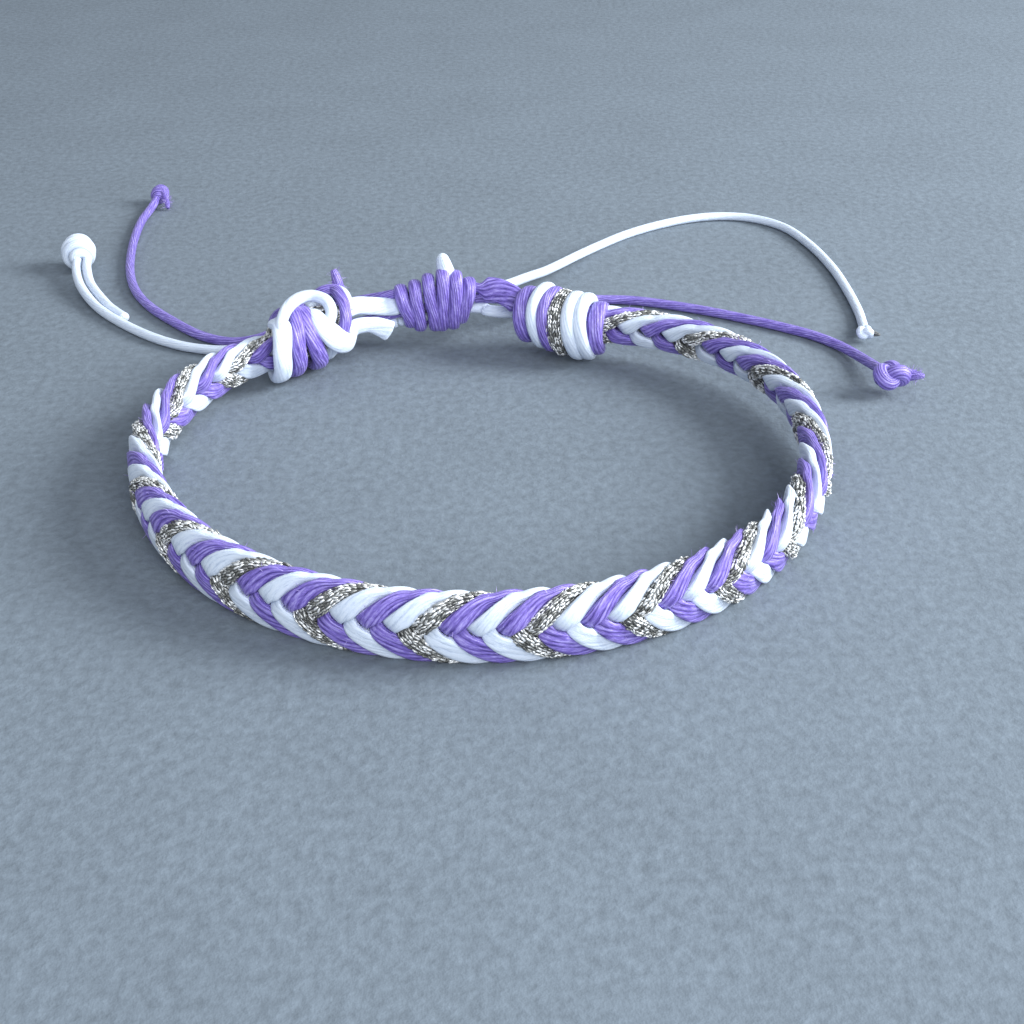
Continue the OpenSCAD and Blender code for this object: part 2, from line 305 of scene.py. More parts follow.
def fuzz_finish():
    """Fine purple fibres, some paler than others."""
    finish, tree = new_finish("purple_fuzz")
    change = noise(tree, object_place(tree), scale=900.0, detail=1.0)
    colour = tinted(tree, change, [(0.35, (0.22, 0.14, 0.5)), (0.7, (0.6, 0.52, 0.88))])
    add_surface(tree, {"Base Color": colour, "Roughness": 0.7})
    return finish


def floor_finish():
    """Plain pale felt with a fine grain."""
    finish, tree = new_finish("pale_felt")
    place = object_place(tree)
    grain = noise(tree, place, scale=850.0, detail=3.0, roughness=0.6)
    cloud = noise(tree, place, scale=60.0, detail=2.0)
    add_surface(tree, {
        "Base Color": tinted(tree, grain * 0.8 + cloud * 0.2, [
            (0.3, (0.118, 0.142, 0.169)), (0.7, (0.175, 0.211, 0.252)),
        ]),
        "Roughness": 0.95,
        "Normal": bumped(tree, 0.4, 0.0004, grain),
    })
    return finish


# Each kind of cord has its finish. Silver's is that of the dark core under its stitches.
# In each finish the deepest colour is mostly painted shade in the grooves, and the lightest mostly painted
# highlight, around the cord's own body colour
FINISHES = {
    "purple": cord_finish(
        "purple_waxed_cord", deep=(0.06, 0.036, 0.215), body=(0.21, 0.15, 0.535), light=(0.49, 0.43, 0.84),
        roughness=0.36, plies=15, groove_depth_and_shade=0.34,
    ),
    "white": cord_finish(
        "white_waxed_cord", deep=(0.44, 0.51, 0.65), body=(0.655, 0.73, 0.855), light=(0.73, 0.785, 0.885),
        roughness=0.5, plies=13, groove_depth_and_shade=0.2,
    ),
    "silver": cord_finish(
        "dark_thread_core", deep=(0.05, 0.052, 0.052), body=(0.14, 0.145, 0.145), light=(0.5, 0.5, 0.49),
        roughness=0.5, plies=9, groove_depth_and_shade=0.4,
    ),
}
STITCHES = thread_finish()
FUZZ = fuzz_finish()


# Meshes
def add_object(name, data):
    """A new object, linked to the scene."""
    made = bpy.data.objects.new(name, data)
    bpy.context.scene.collection.objects.link(made)
    return made


def skin(name, rings, along, finish):
    """A closed skin over rings of points in mm, with a map of the turn round it and the length along it."""
    count, sides, _ = rings.shape
    points = rings.reshape(-1, 3) * MM
    first = np.arange(count - 1)[:, None] * sides
    here = np.arange(sides)[None, :]
    there = (here + 1) % sides
    quads = np.stack([first + here, first + there, first + sides + there, first + sides + here], -1)
    ends = [list(range(sides))[::-1], [(count - 1) * sides + k for k in range(sides)]]
    mesh = bpy.data.meshes.new(name)
    mesh.from_pydata(points.tolist(), [], quads.reshape(-1, 4).tolist() + ends)
    turn = np.stack([here, here + 1, here + 1, here], -1) / sides
    turn = np.broadcast_to(turn, (count - 1, sides, 4))
    run = np.stack([along[:-1], along[:-1], along[1:], along[1:]], -1)
    run = np.broadcast_to(run[:, None, :], (count - 1, sides, 4))
    body_uv = np.stack([turn, run], -1).reshape(-1, 2)
    cap = np.arange(sides) / sides
    start_uv = np.stack([cap[::-1], np.full(sides, along[0])], -1)
    end_uv = np.stack([cap, np.full(sides, along[-1])], -1)
    layer = mesh.uv_layers.new(name="cord")
    layer.data.foreach_set("uv", np.vstack([body_uv, start_uv, end_uv]).ravel())
    mesh.materials.append(finish)
    mesh.shade_smooth()
    return add_object(name, mesh)


def turns_round(sides):
    """Angles of the points of a ring."""
    return 2 * math.pi * np.arange(sides) / sides


def oval_reach(turn, cos_half, sin_half, squareness):
    """How far a squarish oval reaches at angles round it, from its half sizes along their cosine and sine."""
    cosines = np.abs(np.cos(turn) / cos_half) ** squareness
    sines = np.abs(np.sin(turn) / sin_half) ** squareness
    return (cosines + sines) ** (-1 / squareness)


def round_rings(line, radius, sides):
    """Round rings along a line. The first ring's frame is carried along, so that nothing twists."""
    ways = ways_along(line)
    across = unit(np.cross([0, 0, 1], ways[0]))
    frames = []
    for way in ways:
        across = unit(across - way * np.dot(across, way))
        frames.append((across, np.cross(way, across)))
    frames = np.array(frames)
    turn = turns_round(sides)[None, :, None]
    radius = np.broadcast_to(radius, len(line))
    spokes = frames[:, None, 0] * np.cos(turn) + frames[:, None, 1] * np.sin(turn)
    return line[:, None] + spokes * radius[:, None, None]


def strap_rings(line, out, wide, thin, sides=18, squareness=2.5, rounding=0.5):
    """Oval rings along a line, wide across it and thin along the ways out of it, with rounded ends."""
    ways = ways_along(line)
    across = unit(np.cross(out, ways))
    out = np.cross(ways, across)
    run = lengths_along(line)
    inside = np.clip(np.minimum(run, run[-1] - run) / rounding, 0, 1)
    taper = (0.15 + 0.85 * np.sqrt(1 - (1 - inside) ** 2))[:, None, None]
    turn = turns_round(sides)
    swell = oval_reach(turn, 1, 1, squareness)
    wide = np.broadcast_to(wide, len(line))[:, None, None]
    thin = np.broadcast_to(thin, len(line))[:, None, None]
    spokes = across[:, None] * wide * (np.cos(turn) * swell)[None, :, None]
    spokes = spokes + out[:, None] * thin * (np.sin(turn) * swell)[None, :, None]
    return above_floor(line[:, None] + spokes * taper)


# Knitted metallic thread
STITCH_PITCH = 0.52
THREAD_GAP = 0.62
THREAD_DEPTH = 0.93
CORE_SHARE = 0.86
LEG_SPINE = np.array([(-0.36, 0.10, 0), (-0.18, 0.12, 0.07), (0.16, 0.18, 0.08), (0.38, 0.22, 0.0)])
LEG_SECTION = ((0, 0.11, 0), (0, 0, 0.09), (0, -0.11, 0), (0, 0, -0.09))


def stitch_shape():
    """One stitch: two slim legs that open like a V along +X and bow outwards along +Z, as a hidden object."""
    points = []
    faces = []
    for mirror in (-1, 1):
        spine = LEG_SPINE * (1, mirror, 1)
        first = len(points)
        points.append(spine[0])
        for middle in spine[1:3]:
            points += [middle + corner for corner in LEG_SECTION]
        points.append(spine[3])
        for k in range(4):
            n = (k + 1) % 4
            faces += [(first, first + 1 + n, first + 1 + k), (first + 9, first + 5 + k, first + 5 + n)]
            faces.append((first + 1 + k, first + 1 + n, first + 5 + n, first + 5 + k))
    mesh = bpy.data.meshes.new("stitch")
    mesh.from_pydata((np.array(points) * MM).tolist(), [], faces)
    mesh.shade_smooth()
    return bpy.data.objects.new("stitch", mesh)


def stitch_tree():
    """Sets the stitch along every thread, turned by the thread's way and its outward attribute."""
    tree = bpy.data.node_groups.new("chained_thread", "GeometryNodeTree")
    sockets = tree.interface
    sockets.new_socket("Threads", in_out="INPUT", socket_type="NodeSocketGeometry")
    names = {
        "Stitch": sockets.new_socket("Stitch", in_out="INPUT", socket_type="NodeSocketObject").identifier,
        "Pitch": sockets.new_socket("Pitch", in_out="INPUT", socket_type="NodeSocketFloat").identifier,
        "Finish": sockets.new_socket("Finish", in_out="INPUT", socket_type="NodeSocketMaterial").identifier,
    }
    sockets.new_socket("Stitches", in_out="OUTPUT", socket_type="NodeSocketGeometry")

    def given(place):
        return add_node(tree, "NodeGroupInput", {}, {}, place)

    def chance(low, high, seed):
        return add_node(tree, "FunctionNodeRandomValue", {"data_type": "FLOAT"}, {
            2: low, 3: high, 8: seed,
        }, 1)

    curves = add_node(tree, "GeometryNodeMeshToCurve", {}, {"Mesh": given(0)})
    spaced = add_node(tree, "GeometryNodeResampleCurve", {"mode": "LENGTH"}, {
        "Curve": curves, "Length": given(2),
    })
    way = add_node(tree, "GeometryNodeInputTangent", {}, {})
    out = add_node(tree, "GeometryNodeInputNamedAttribute", {"data_type": "FLOAT_VECTOR"}, {"Name": "out"})
    turn = add_node(tree, "FunctionNodeAxesToRotation", {"primary_axis": "X", "secondary_axis": "Z"}, {
        0: way, 1: out,
    })
    tilt = add_node(tree, "ShaderNodeCombineXYZ", {}, {
        0: chance(-0.5, 0.5, 1), 1: chance(-0.25, 0.25, 2), 2: chance(-0.3, 0.3, 3),
    })
    tilted = add_node(tree, "FunctionNodeRotateRotation", {"rotation_space": "LOCAL"}, {
        0: turn, 1: add_node(tree, "FunctionNodeEulerToRotation", {}, {0: tilt}),
    })
    shape = add_node(tree, "GeometryNodeObjectInfo", {}, {"Object": given(1)}, 4)
    placed = add_node(tree, "GeometryNodeInstanceOnPoints", {}, {
        "Points": spaced, "Instance": shape, "Rotation": tilted, "Scale": chance(0.85, 1.15, 4),
    })
    # A random tone for each stitch; its finish paints the brightest ones as glints
    toned = add_node(tree, "GeometryNodeStoreNamedAttribute", {"data_type": "FLOAT", "domain": "INSTANCE"}, {
        "Geometry": placed, "Name": "tone", "Value": chance(0.0, 1.0, 5),
    })
    real = add_node(tree, "GeometryNodeRealizeInstances", {}, {0: toned})
    coated = add_node(tree, "GeometryNodeSetMaterial", {}, {"Geometry": real, "Material": given(3)})
    add_node(tree, "NodeGroupOutput", {}, {0: coated})
    return tree, names


STITCH = stitch_shape()
STITCH_TREE, STITCH_INPUTS = stitch_tree()


def knit(name, line, rings):
    """Threads of stitches along a strand, side by side round its rings."""
    closed = np.concatenate([rings, rings[:, :1]], 1)
    round_them = np.cumsum(np.linalg.norm(np.diff(closed, axis=1), axis=2), axis=1)
    round_them = np.concatenate([np.zeros((len(line), 1)), round_them], 1)
    threads = round(round_them.max() / THREAD_GAP)
    share = np.arange(threads) / threads
    columns = np.array([
        [np.interp(share * whole[-1], whole, ring[:, axis]) for axis in range(3)]
        for whole, ring in zip(round_them, closed)
    ]).transpose(0, 2, 1)
    out = columns - line[:, None]
    columns = line[:, None] + out * THREAD_DEPTH
    count = len(line)
    points = columns.transpose(1, 0, 2).reshape(-1, 3) * MM
    first = (np.arange(threads)[:, None] * count + np.arange(count - 1)[None, :]).ravel()
    mesh = bpy.data.meshes.new(name + "_threads")
    mesh.from_pydata(points.tolist(), np.stack([first, first + 1], 1).tolist(), [])
    outward_ways = mesh.attributes.new("out", "FLOAT_VECTOR", "POINT")
    outward_ways.data.foreach_set("vector", unit(out).transpose(1, 0, 2).ravel())
    curves = add_object(name + "_threads", mesh)
    stitches = curves.modifiers.new("stitches", "NODES")
    stitches.node_group = STITCH_TREE
    stitches[STITCH_INPUTS["Stitch"]] = STITCH
    stitches[STITCH_INPUTS["Pitch"]] = STITCH_PITCH * MM
    stitches[STITCH_INPUTS["Finish"]] = STITCHES
    whole = bpy.data.meshes.new_from_object(curves.evaluated_get(bpy.context.evaluated_depsgraph_get()))
    bpy.data.objects.remove(curves)
    whole.name = name
    return add_object(name, whole)


# Pieces of cord
def place_piece(piece, nodes):
    """Lets a piece of one kind of cord ride on the part and stand for its solids."""
    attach(piece, "root")
    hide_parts(*nodes)


def cord_piece(name, kind, rings, line, nodes):
    """A piece of cord as a skin over rings along a line, in the place of its solids."""
    piece = skin(name, rings, lengths_along(line), FINISHES[kind])
    place_piece(piece, nodes)
    return piece


def strand_piece(name, kind, line, rings, nodes):
    """A strand along a line as a skin over its rings. Silver thread has a slimmer core under its stitches."""
    if kind == "silver":
        place_piece(knit(name + "_stitches", line, rings), nodes)
        rings = line[:, None] + (rings - line[:, None]) * CORE_SHARE
    cord_piece(name, kind, rings, line, nodes)


def fuzz(name, rings, count, reach, nodes, seed):
    """Short curved ribbons that stand off a strand, as fibres that have worked loose do."""
    ribbon_half = 0.022
    upward = 0.25
    chance = np.random.default_rng(seed)
    ring = chance.integers(2, len(rings) - 2, count)
    side = chance.integers(0, rings.shape[1], count)
    root = rings[ring, side]
    out = unit(root - rings[ring].mean(1))
    way = unit(rings[ring + 1, side] - rings[ring - 1, side])
    lean = out + way * chance.normal(0, 0.8, (count, 1)) + chance.normal(0, 0.25, (count, 3))
    lean[:, 2] += upward
    curl = chance.normal(0, 0.5, (count, 3))
    length = reach * chance.uniform(0.4, 1.0, (count, 1))
    middle = root + unit(lean) * length * 0.5
    tip = middle + unit(unit(lean) + curl) * length * 0.5
    middle = above_floor(middle, FIBRE_CLEARANCE)
    tip = above_floor(tip, FIBRE_CLEARANCE)
    across = unit(np.cross(tip - root, out + 0.01)) * ribbon_half
    points = np.stack([root - across, root + across, middle + across * 0.8, middle - across * 0.8, tip], 1)
    first = (5 * np.arange(count)).tolist()
    faces = [(k, k + 1, k + 2, k + 3) for k in first] + [(k + 3, k + 2, k + 4) for k in first]
    mesh = bpy.data.meshes.new(name)
    mesh.from_pydata((points.reshape(-1, 3) * MM).tolist(), [], faces)
    mesh.materials.append(FUZZ)
    piece = add_object(name, mesh)
    place_piece(piece, nodes)
    return piece


# Camera, fitted to the outlines of the loop
CAMERA_AT = (3.33, -145.54 + LOOP_Y, 81.44)
CAMERA_AIM = (3.33, LOOP_Y, -6.09)
LENS = 52.9

camera_data = bpy.data.cameras.new("camera")
camera_data.lens = LENS
camera_data.sensor_width = 36.0
camera_data.clip_start = 0.01
camera = add_object("camera", camera_data)
camera.location = Vector(CAMERA_AT) * MM
camera.rotation_euler = (Vector(CAMERA_AIM) - Vector(CAMERA_AT)).to_track_quat("-Z", "Y").to_euler()
bpy.context.scene.camera = camera

# Tails and the small knots at their ends. A knot starts a small gap past its tail's solid end.
CORD_SIDES = 14
TIP_SIDES = 12
TIP_GAP = 0.15
END_GAP = 0.06
EGG_TURNS = 4.2


def frayed_tip(name, kind, line, radius, node, left=0.25):
    """A short end that thins out along a line to a share of its radius. A purple one has loose fibres."""
    run = lengths_along(line)
    radii = radius * (1 - (1 - left) * (run / run[-1]) ** 2)
    rings = above_floor(round_rings(at_loop(line), radii, TIP_SIDES))
    tip = cord_piece(name, kind, rings, line, [node])
    if kind != "purple":
        return [tip]
    return [tip, fuzz(name + "_fibres", rings, 140, 1.1, [node], seed=len(name))]


def overhand_knot(name, kind, end, way, size, radius, node, tip_kind):
    """A tight flat overhand knot just past the end of a tail, and the frayed tip that leaves it."""
    side = unit(np.cross([0, 0, 1], way))
    up = np.cross(way, side)
    lobe = (size - radius) / 3
    turn = np.linspace(math.pi, 3 * math.pi, 96)
    centre = end + way * (END_GAP + size * 0.8)
    line = (
        centre + (lobe * (np.sin(turn) + 2 * np.sin(2 * turn)))[:, None] * side
        + (lobe * (np.cos(turn) - 2 * np.cos(2 * turn)))[:, None] * way
        - (radius * 0.62 * np.sin(3 * turn))[:, None] * up
    )
    rings = above_floor(round_rings(at_loop(line), radius, CORD_SIDES))
    knot = cord_piece(name, kind, rings, line, [node])
    tip_line = smooth_route([
        centre + side * size * 0.3, centre + side * size * 0.8 + way * size * 0.2,
        centre + side * size * 1.15 + way * size * 0.45, centre + side * size * 1.45 + way * size * 0.65,
    ], TIP_GAP)
    return [knot] + frayed_tip(name + "_tip", tip_kind, tip_line, radius * 0.95, node)


def egg_of_turns(name, kind, end, way, size, radius, node, tip_kind):
    """An egg of tight turns of cord just past the end of a tail. It may have a frayed tip that hangs down."""
    side = unit(np.cross([0, 0, 1], way))
    up = np.cross(way, side)
    share = np.linspace(0, 1, 150)
    turn = share * 2 * math.pi * EGG_TURNS
    along = (share * 2 - 1) * size
    reach = (size - radius) * np.sqrt(1.002 - (2 * share - 1) ** 2) * (1.06 - 0.12 * share)
    line = (
        end + way * (size * 0.7 + END_GAP) + along[:, None] * way
        + (reach * np.cos(turn))[:, None] * side + (reach * np.sin(turn))[:, None] * up
    )
    rings = above_floor(round_rings(at_loop(line), radius, CORD_SIDES))
    egg = cord_piece(name, kind, rings, line, [node])
    middle = end + way * np.linspace(END_GAP + size * 0.2, END_GAP + size * 1.78, 40)[:, None]
    rings = round_rings(at_loop(middle), radius, CORD_SIDES)
    filling = cord_piece(name + "_middle", kind, rings, middle, [node])
    if tip_kind is None:
        return [egg, filling]
    tip_line = smooth_route([
        end + (0.7, 0.6, 0.9), end + (1.3, -0.6, 0.2), end + (1.7, -1.6, -0.5), end + (1.9, -2.3, -0.95),
    ], TIP_GAP)
    return [egg, filling] + frayed_tip(name + "_tip", tip_kind, tip_line, radius, node, 0.5)


def round_cord(name, kind, route, node):
    """A round cord along a route of points, and its line."""
    line = at_loop(smooth_route(route))
    return cord_piece(name, kind, round_rings(line, CORD_D / 2, CORD_SIDES), line, [node]), line


def tail(name, route, kind, node, knot, folded=None):
    """A loose tail as a round cord, with its small knot and, on one tail, its folded end."""
    end = np.array(route[-1])
    way = unit(end - np.array(route[-2]))
    shape, size, radius, tip_kind = knot
    with_it = shape(name + "_knot", kind, end, way, size, radius, node + "_knot", tip_kind)
    if folded:
        fold, _ = round_cord(name + "_fold", kind, folded, node + "_fold")
        with_it.append(fold)
    piece, line = round_cord(name, kind, route, node)
    tuple(line[0] * MM)
    (line * MM).tolist()


tail("right_white_loose_tail", RIGHT_WHITE_TAIL, "white", "right_white_tail",
     (overhand_knot, 1.25, 0.5, "silver"))
tail("right_purple_loose_tail", RIGHT_PURPLE_TAIL, "purple", "right_purple_tail",
     (overhand_knot, 2.5, 0.95, "purple"))
tail("left_purple_loose_tail", LEFT_PURPLE_TAIL, "purple", "left_purple_tail",
     (egg_of_turns, 1.4, 0.55, "purple"))
tail("left_white_loose_tail", LEFT_WHITE_TAIL, "white", "left_white_tail",
     (egg_of_turns, 2.45, 0.66, None), LEFT_WHITE_FOLD)


# Braid
EDGE_WIDE = 0.55
FACE_WIDE = 1.35
EDGE_THIN = 0.45
FACE_THIN = 0.6
SQUARENESS = 4.0
EDGE_CURVE = 1.3
THROUGH_MIDDLE = 4.5
LIFT = 0.35
PAST_MIDDLE = 8.0
STRAND_GAP = 0.3
INTO_KNOT = 4.0
BRAID_SIDES = 32

# Towards its ends the braid is looser and slimmer, and its middle hangs higher, between the two knots. Each
# row: length along the braid, how far its crossings run ahead of even steps, share of its height, rise of its
# middle, and lean of its top towards the inside of the loop
PLACE, AHEAD, SHARE, RISE, LEAN = range(5)
BRAID_FORM = np.array([
    (-4, 16, 0.62, 1.1, 18),
    (1, 14.7, 0.66, 1.1, 24),
    (13, 12, 0.74, 1.1, 28),
    (25, 9.8, 0.76, 1.05, 28),
    (38, 6.2, 0.84, 0.7, 16),
    (50, 1.8, 0.94, 0.3, 4),
    (60, 0.3, 1, 0, 0),
    (BRAID_L - 34, 0, 1, 0, 0),
    (BRAID_L - 30, -1, 0.97, 0.05, 0),
    (BRAID_L - 25.5, -2.5, 0.92, 0.1, 2),
    (BRAID_L - 20.5, -4.1, 0.88, 0.15, 4),
    (BRAID_L - 16.4, -5.5, 0.84, 0.2, 7),
    (BRAID_L - 12.9, -6.8, 0.79, 0.25, 10),
    (BRAID_L - 9.7, -7.6, 0.75, 0.3, 10),
    (BRAID_L - 5.7, -8.4, 0.67, 0.4, 10),
    (BRAID_L + 4, -11.5, 0.5, 0.4, 10),
])


def loop_point(azimuth):
    """Points on the middle line of the loop at azimuths in degrees from the front."""
    past = np.maximum(np.abs(azimuth - BRAID_MIDDLE) - (BRAID_START - BRAID_MIDDLE - TUCK_SPAN), 0)
    tuck = np.where(azimuth > BRAID_MIDDLE, RIGHT_TUCK, LEFT_TUCK) * (past / TUCK_SPAN) ** 2
    turn = np.radians(azimuth)
    return (LOOP_R - tuck)[:, None] * np.stack([np.sin(turn), -np.cos(turn)], 1)


def form_at(run, column):
    """A column of the braid's form at lengths run along it, averaged over 6 mm."""
    places = BRAID_FORM[:, PLACE]
    return sum(np.interp(run + shift, places, BRAID_FORM[:, column]) for shift in (-3, -1.5, 0, 1.5, 3)) / 5


def strand_turn(number, run):
    """How far strand number has gone round its figure of eight, in radians."""
    turn = 2 * math.pi * ((run + form_at(run, AHEAD)) / STEP - 2 * number - FIRST_CROSSING) / CYCLE
    return turn + math.radians(INTERLEAVE) * np.sin(turn)


def section_ways(run):
    """The ways out of the outer face of the braid and up along that face, at lengths run along it."""
    azimuth = BRAID_START - np.degrees(run / LOOP_R)
    way = unit(loop_point(azimuth - 0.5) - loop_point(azimuth + 0.5))
    level = np.column_stack([-way[:, 1], way[:, 0], np.zeros_like(run)])
    lean = np.radians(form_at(run, LEAN))[:, None]
    plumb = np.array([0, 0, 1])
    return level * np.cos(lean) + plumb * np.sin(lean), plumb * np.cos(lean) - level * np.sin(lean)


def strand_line(number, run):
    """The middle line of a strand at lengths run along the braid."""
    turn = strand_turn(number, run)
    edge = np.sign(np.sin(turn)) * np.abs(np.sin(turn)) ** EDGE_CURVE
    out = DEPTH * edge * np.tanh(THROUGH_MIDDLE * np.cos(turn - math.radians(PAST_MIDDLE)))
    up = (SWING * np.cos(turn) + LIFT * np.sin(turn) ** 2) * form_at(run, SHARE)
    level = loop_point(BRAID_START - np.degrees(run / LOOP_R))
    middle = np.column_stack([level, BRAID_Z + form_at(run, RISE)])
    out_way, up_way = section_ways(run)
    return middle + out[:, None] * out_way + up[:, None] * up_way


def strand_frames(number, run, line):
    """The wide and thin half axes of a strand along its line. Its flat side faces out of the braid."""
    flat, _ = section_ways(run)
    ways = ways_along(line)
    ways = unit(ways - flat * (ways * flat).sum(1)[:, None])
    side = np.cross(flat, ways)
    on_face = np.abs(np.sin(strand_turn(number, run)))[:, None]
    slim = 0.4 + 0.6 * form_at(run, SHARE)[:, None]
    wide = side * (EDGE_WIDE + (FACE_WIDE - EDGE_WIDE) * on_face) * slim
    thin = flat * (EDGE_THIN + (FACE_THIN - EDGE_THIN) * on_face)
    return wide, thin


def packed_rings(line, wide, thin, neighbours, window=9, sharpness=12):
    """Rings along a line that swell to an oval, but stop where they meet a neighbouring line's own rings.

    Each neighbour is its line and the share of the way to it that these rings may take.
    """
    turn = turns_round(BRAID_SIDES)
    spokes = wide[:, None] * np.cos(turn)[None, :, None] + thin[:, None] * np.sin(turn)[None, :, None]
    free = np.linalg.norm(spokes, axis=2)
    spokes = spokes / free[:, :, None]
    free = free * oval_reach(turn, 1, 1, SQUARENESS)
    crowd = (1 / free) ** sharpness
    for other, share in neighbours:
        nearest = np.zeros_like(free)
        for shift in range(-window, window + 1):
            gap = np.roll(other, -shift, axis=0) - line
            distance = (gap ** 2).sum(1)
            reach = np.einsum("rsk,rk->rs", spokes, gap)
            nearest = np.maximum(nearest, reach / (share * distance[:, None]))
        crowd += nearest ** sharpness
    radius = crowd ** (-1 / sharpness)
    return line[:, None] + spokes * radius[:, :, None]


BULK = {"silver": 0.72, "purple": 1.0, "white": 1.0}
STRAND_NODES = [
    "silver_strand_1", "purple_strand_1", "white_strand_1", "purple_strand_2",
    "silver_strand_2", "white_strand_2", "purple_strand_3", "white_strand_3",
]
STRAND_KINDS = [node.split("_")[0] for node in STRAND_NODES]

strand_run = np.arange(-INTO_KNOT, BRAID_L + INTO_KNOT, STRAND_GAP)
strand_lines = [strand_line(number, strand_run) for number in range(STRANDS)]
purple_rings = {}
for number, (node, kind) in enumerate(zip(STRAND_NODES, STRAND_KINDS)):
    line = strand_lines[number]
    wide, thin = strand_frames(number, strand_run, line)
    neighbours = [
        (strand_lines[other], BULK[kind] / (BULK[kind] + BULK[STRAND_KINDS[other]]))
        for other in range(STRANDS) if other != number
    ]
    rings = at_loop(packed_rings(line, wide * BULK[kind], thin, neighbours))
    strand_piece("braided_" + node, kind, at_loop(line), rings, [node])
    if kind == "purple":
        purple_rings[node] = rings


# Knots: each is its middle, its axis and its front. A place in a knot is mm along it, degrees from its top
# towards the viewer, and mm out from its middle.
PICTURE_UP = np.array([0, 0.515, 0.857])
PICTURE_NEAR = np.array([0, -0.857, 0.515])
NEAR_TURN = 59.0
RIGHT_KNOT = (
    np.array([9.666, 28.308, KNOT_R]), np.array([-0.986, 0.1666, 0]), np.array([-0.1666, -0.986, 0]),
)
LEFT_KNOT = (
    np.array([-21.742, 24.673, KNOT_R]), np.array([0.7547, 0.6561, 0]), np.array([0.6561, -0.7547, 0]),
)
SLIDING_KNOT = (
    np.array(SLIDER),
    np.array([math.cos(math.radians(SLIDER_TURN)), math.sin(math.radians(SLIDER_TURN)), 0]),
    np.array([math.sin(math.radians(SLIDER_TURN)), -math.cos(math.radians(SLIDER_TURN)), 0]),
)
WOUND_GAP = 0.16
TURN_PLACES = np.linspace(-170.0, 205.0, 42)
DIVE_SPAN = 45


def in_knot(knot, places):
    """Points at places in a knot."""
    middle, axis, front = knot
    along, turn, reach = np.array(places, float).T
    turn = np.radians(turn)
    spokes = np.sin(turn)[:, None] * front + np.cos(turn)[:, None] * np.array([0, 0, 1])
    return middle + along[:, None] * axis + reach[:, None] * spokes


def wound(name, kind, knot, points, wide, thin, nodes):
    """A strand wound round a knot along a route, with its flat side out. It has one or more half widths."""
    line = smooth_route(points, WOUND_GAP)
    wide = np.interp(np.linspace(0, 1, len(line)), np.linspace(0, 1, np.size(wide)), np.ravel(wide))
    middle, axis, _ = knot
    out = line - middle
    out = unit(out - (out @ axis)[:, None] * axis)
    strand_piece(name, kind, at_loop(line), at_loop(strap_rings(line, out, wide, thin)), nodes)


def one_turn(place, reach, lean, bulge, dive):
    """Places of one turn round a knot. Its ends dive beside each other under the back of the knot."""
    leaving = smooth(1 - (TURN_PLACES - TURN_PLACES[0]) / DIVE_SPAN)
    coming = smooth(1 - (TURN_PLACES[-1] - TURN_PLACES) / DIVE_SPAN)
    near = (0.5 + 0.5 * np.cos(np.radians(TURN_PLACES - NEAR_TURN))) ** 2.5
    along = place + lean * np.cos(np.radians(TURN_PLACES)) + bulge * near
    along = along + 0.5 * (coming - leaving)
    return np.column_stack([along, TURN_PLACES, reach - dive * (leaving + coming)])


def knot_core(name, kind, knot, half, radius, nodes):
    """The bundle inside a knot, rounded at its ends."""
    along = np.linspace(-half, half, 60)
    line = knot[0] + along[:, None] * knot[1]
    rounding = np.sqrt(np.clip(1 - (np.abs(along) / (half + 0.1)) ** 6, 0, 1))
    out = np.broadcast_to(knot[2], line.shape)
    radii = radius * rounding
    rings = strap_rings(line, out, radii, radii, sides=40, squareness=2.0, rounding=0.05)
    strand_piece(name, kind, at_loop(line), at_loop(rings), nodes)


# Right knot. Each turn: kind, place, radius outside, rise in the picture, lean, bulge and half width
RIGHT_THIN = 0.74
RIGHT_DIVE = 0.9
RIGHT_TURNS = [
    ("purple", -4.69, 3.35, -0.55, -0.1, 0.42, 1.02),
    ("white", -3.45, 4.18, -0.42, 0.25, 0.9, 0.86),
    ("white", -2.15, 4.28, -0.4, 0.25, 1.1, 0.86),
    ("silver", -0.5, 4.02, -0.15, 0.0, 1.2, 0.96),
    ("purple", 0.85, 4.1, 0.2, -0.15, 1.4, 0.74),
    ("white", 1.9, 4.15, 0.6, -0.25, 1.7, 0.72),
    ("purple", 4.05, 3.55, 0.6, -0.1, 1.0, 0.92),
]
knot_core("right_knot_core", "purple", RIGHT_KNOT, 4.6, 2.6, ["right_knot_bundle"])
for count, (kind, place, radius, rise, lean, bulge, half) in enumerate(RIGHT_TURNS):
    points = in_knot(RIGHT_KNOT, one_turn(place, radius - RIGHT_THIN, lean, bulge, RIGHT_DIVE))
    points = points + PICTURE_UP * rise
    node = "right_knot_silver_turn" if kind == "silver" else "right_knot_%s_turns" % kind
    wound("right_knot_%s_turn_%d" % (kind, count), kind, RIGHT_KNOT, points, half, RIGHT_THIN, [node])

